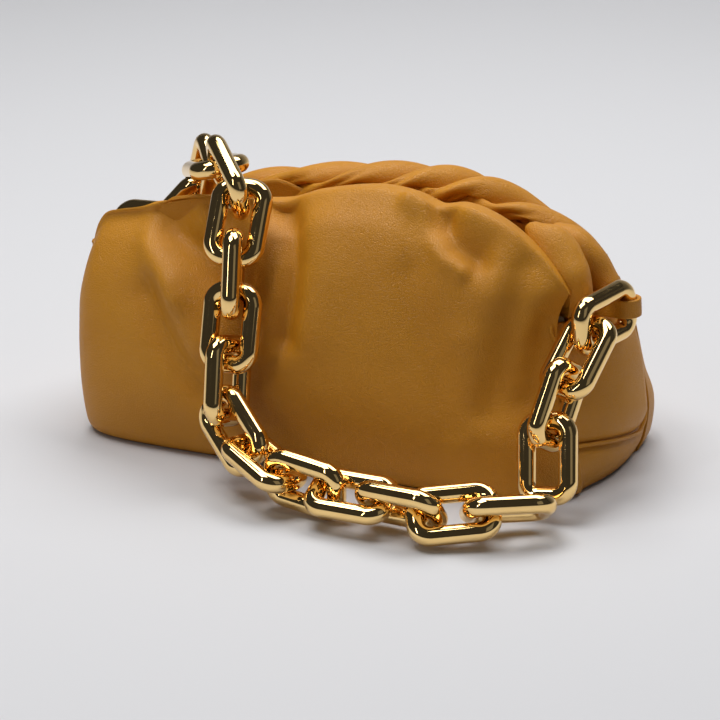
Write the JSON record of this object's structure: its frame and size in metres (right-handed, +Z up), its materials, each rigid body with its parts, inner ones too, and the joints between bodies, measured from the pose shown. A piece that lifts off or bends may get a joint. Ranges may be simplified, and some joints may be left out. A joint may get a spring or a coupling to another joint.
{
  "type": "chain_shoulder_bag",
  "caption": "Gathered leather shoulder bag with a framed mouth and a chunky polished gold chain strap lying over its front.",
  "frame": {"origin": "middle of the base, on the floor", "axes": "+X towards the right end as seen from the front, -Y to the front, +Z up"},
  "size_m": [0.3169, 0.224, 0.1787],
  "materials": {
    "leather": "smooth caramel leather with a fine grain and a soft sheen",
    "chain_gold": "mirror-polished pale gold plate",
    "lining": "plain brown woven lining",
    "frame_steel": "satin plated steel",
    "board": "plain stiffening board"
  },
  "bodies": {
    "bag": {"front_panel": "leather", "rear_panel": "leather", "left_gusset": "leather", "right_gusset": "leather", "base_panel": "leather", "base_board": "board", "lining": "lining", "mouth_shelf": "leather", "mouth_web": "leather", "front_frame": "frame_steel", "left_pin": "frame_steel", "right_pin": "frame_steel", "front_magnet": "frame_steel", "right_tab": "leather", "left_tab": "leather"},
    "rear_half": {"rear_cover": "leather", "rear_gather": "leather", "rear_frame": "frame_steel", "rear_magnet": "frame_steel"},
    "right_end": {"right_end_link": "chain_gold"},
    "right_1": {"right_link_1": "chain_gold"},
    "right_2": {"right_link_2": "chain_gold"},
    "right_3": {"right_link_3": "chain_gold"},
    "left_end": {"left_end_link": "chain_gold"},
    "chain_01": {"chain_link_01": "chain_gold"},
    "chain_02": {"chain_link_02": "chain_gold"},
    "chain_03": {"chain_link_03": "chain_gold"},
    "chain_04": {"chain_link_04": "chain_gold"},
    "chain_05": {"chain_link_05": "chain_gold"},
    "chain_06": {"chain_link_06": "chain_gold"},
    "chain_07": {"chain_link_07": "chain_gold"},
    "chain_08": {"chain_link_08": "chain_gold"},
    "chain_09": {"chain_link_09": "chain_gold"},
    "chain_10": {"chain_link_10": "chain_gold"},
    "chain_11": {"chain_link_11": "chain_gold"},
    "chain_12": {"chain_link_12": "chain_gold"},
    "chain_13": {"chain_link_13": "chain_gold"},
    "chain_14": {"chain_link_14": "chain_gold"},
    "chain_15": {"chain_link_15": "chain_gold"}
  },
  "joints": [
    {"name": "mouth_hinge", "type": "hinge", "parent": "bag", "child": "rear_half", "pos_m": [0, 0.012, 0.09], "axis": [-1, 0, 0], "range_deg": [0, 50]},
    {"name": "right_end_link_pivot", "type": "hinge", "parent": "bag", "child": "right_end", "pos_m": [0.153, -0.014, 0.098], "axis": [0.0796, 0.0576, -0.9952], "range_deg": [-16, 0]},
    {"name": "right_link_1_pivot", "type": "hinge", "parent": "right_end", "child": "right_1", "pos_m": [0.14383, -0.04075, 0.09535], "axis": [-0.9498, 0.3128, -0.0033], "range_deg": [0, 16]},
    {"name": "right_link_2_pivot", "type": "hinge", "parent": "right_1", "child": "right_2", "pos_m": [0.13729, -0.06079, 0.07586], "axis": [0.2846, 0.8056, -0.5196], "range_deg": [-16, 0]},
    {"name": "right_link_3_pivot", "type": "hinge", "parent": "right_2", "child": "right_3", "pos_m": [0.1308, -0.07441, 0.05119], "axis": [-0.9885, 0.0059, -0.1509], "range_deg": [0, 10]},
    {"name": "left_end_link_pivot", "type": "hinge", "parent": "bag", "child": "left_end", "pos_m": [-0.148, -0.018, 0.107], "axis": [-0.0126, 0.6556, 0.755], "range_deg": [-7, 0]},
    {"name": "chain_link_01_pivot", "type": "hinge", "parent": "left_end", "child": "chain_01", "pos_m": [-0.10892, -0.01997, 0.10937], "axis": [0.0126, -0.6556, -0.755], "range_deg": [0, 6]},
    {"name": "chain_link_02_pivot", "type": "hinge", "parent": "chain_01", "child": "chain_02", "pos_m": [-0.09943, -0.01412, 0.12692], "axis": [-0.545, 0.6528, 0.5261], "range_deg": [-9, 0]},
    {"name": "chain_link_03_pivot", "type": "hinge", "parent": "chain_02", "child": "chain_03", "pos_m": [-0.08724, -0.02409, 0.15081], "axis": [-0.7838, -0.6076, -0.1284], "range_deg": [0, 16]},
    {"name": "chain_link_04_pivot", "type": "hinge", "parent": "chain_03", "child": "chain_04", "pos_m": [-0.06502, -0.05484, 0.16069], "axis": [0.7838, 0.6076, 0.1284], "range_deg": [-16, 0]},
    {"name": "chain_link_05_pivot", "type": "hinge", "parent": "chain_04", "child": "chain_05", "pos_m": [-0.04766, -0.06273, 0.15385], "axis": [-0.9635, -0.2492, 0.0981], "range_deg": [0, 16]},
    {"name": "chain_link_06_pivot", "type": "hinge", "parent": "chain_05", "child": "chain_06", "pos_m": [-0.04554, -0.08388, 0.12091], "axis": [0.9635, 0.2492, -0.0981], "range_deg": [-16, 0]},
    {"name": "chain_link_07_pivot", "type": "hinge", "parent": "chain_06", "child": "chain_07", "pos_m": [-0.04213, -0.08898, 0.10422], "axis": [-0.9987, -0.0493, -0.0115], "range_deg": [0, 14]},
    {"name": "chain_link_08_pivot", "type": "hinge", "parent": "chain_07", "child": "chain_08", "pos_m": [-0.04113, -0.1005, 0.06677], "axis": [0.9987, 0.0493, 0.0115], "range_deg": [-9, 0]},
    {"name": "chain_link_09_pivot", "type": "hinge", "parent": "chain_08", "child": "chain_09", "pos_m": [-0.04589, -0.10539, 0.04629], "axis": [-0.6448, 0.0229, -0.764], "range_deg": [0, 9]},
    {"name": "chain_link_10_pivot", "type": "hinge", "parent": "chain_09", "child": "chain_10", "pos_m": [-0.01836, -0.12015, 0.02261], "axis": [0.6448, -0.0229, 0.764], "range_deg": [-16, 0]},
    {"name": "chain_link_11_pivot", "type": "hinge", "parent": "chain_10", "child": "chain_11", "pos_m": [0.00793, -0.13297, 0.019], "axis": [-0.4242, -0.8995, 0.1051], "range_deg": [0, 16]},
    {"name": "chain_link_12_pivot", "type": "hinge", "parent": "chain_11", "child": "chain_12", "pos_m": [0.02615, -0.13398, 0.01773], "axis": [0.0208, 0.927, 0.3744], "range_deg": [-9, 0]},
    {"name": "chain_link_13_pivot", "type": "hinge", "parent": "chain_12", "child": "chain_13", "pos_m": [0.06534, -0.13494, 0.01792], "axis": [-0.0208, -0.927, -0.3744], "range_deg": [0, 7]},
    {"name": "chain_link_14_pivot", "type": "hinge", "parent": "chain_13", "child": "chain_14", "pos_m": [0.08362, -0.14086, 0.01484], "axis": [-0.3827, 0.6552, 0.6513], "range_deg": [-16, 0]},
    {"name": "chain_link_15_pivot", "type": "hinge", "parent": "chain_14", "child": "chain_15", "pos_m": [0.11862, -0.12349, 0.01794], "axis": [0.3827, -0.6552, -0.6513], "range_deg": [0, 16]}
  ]
}
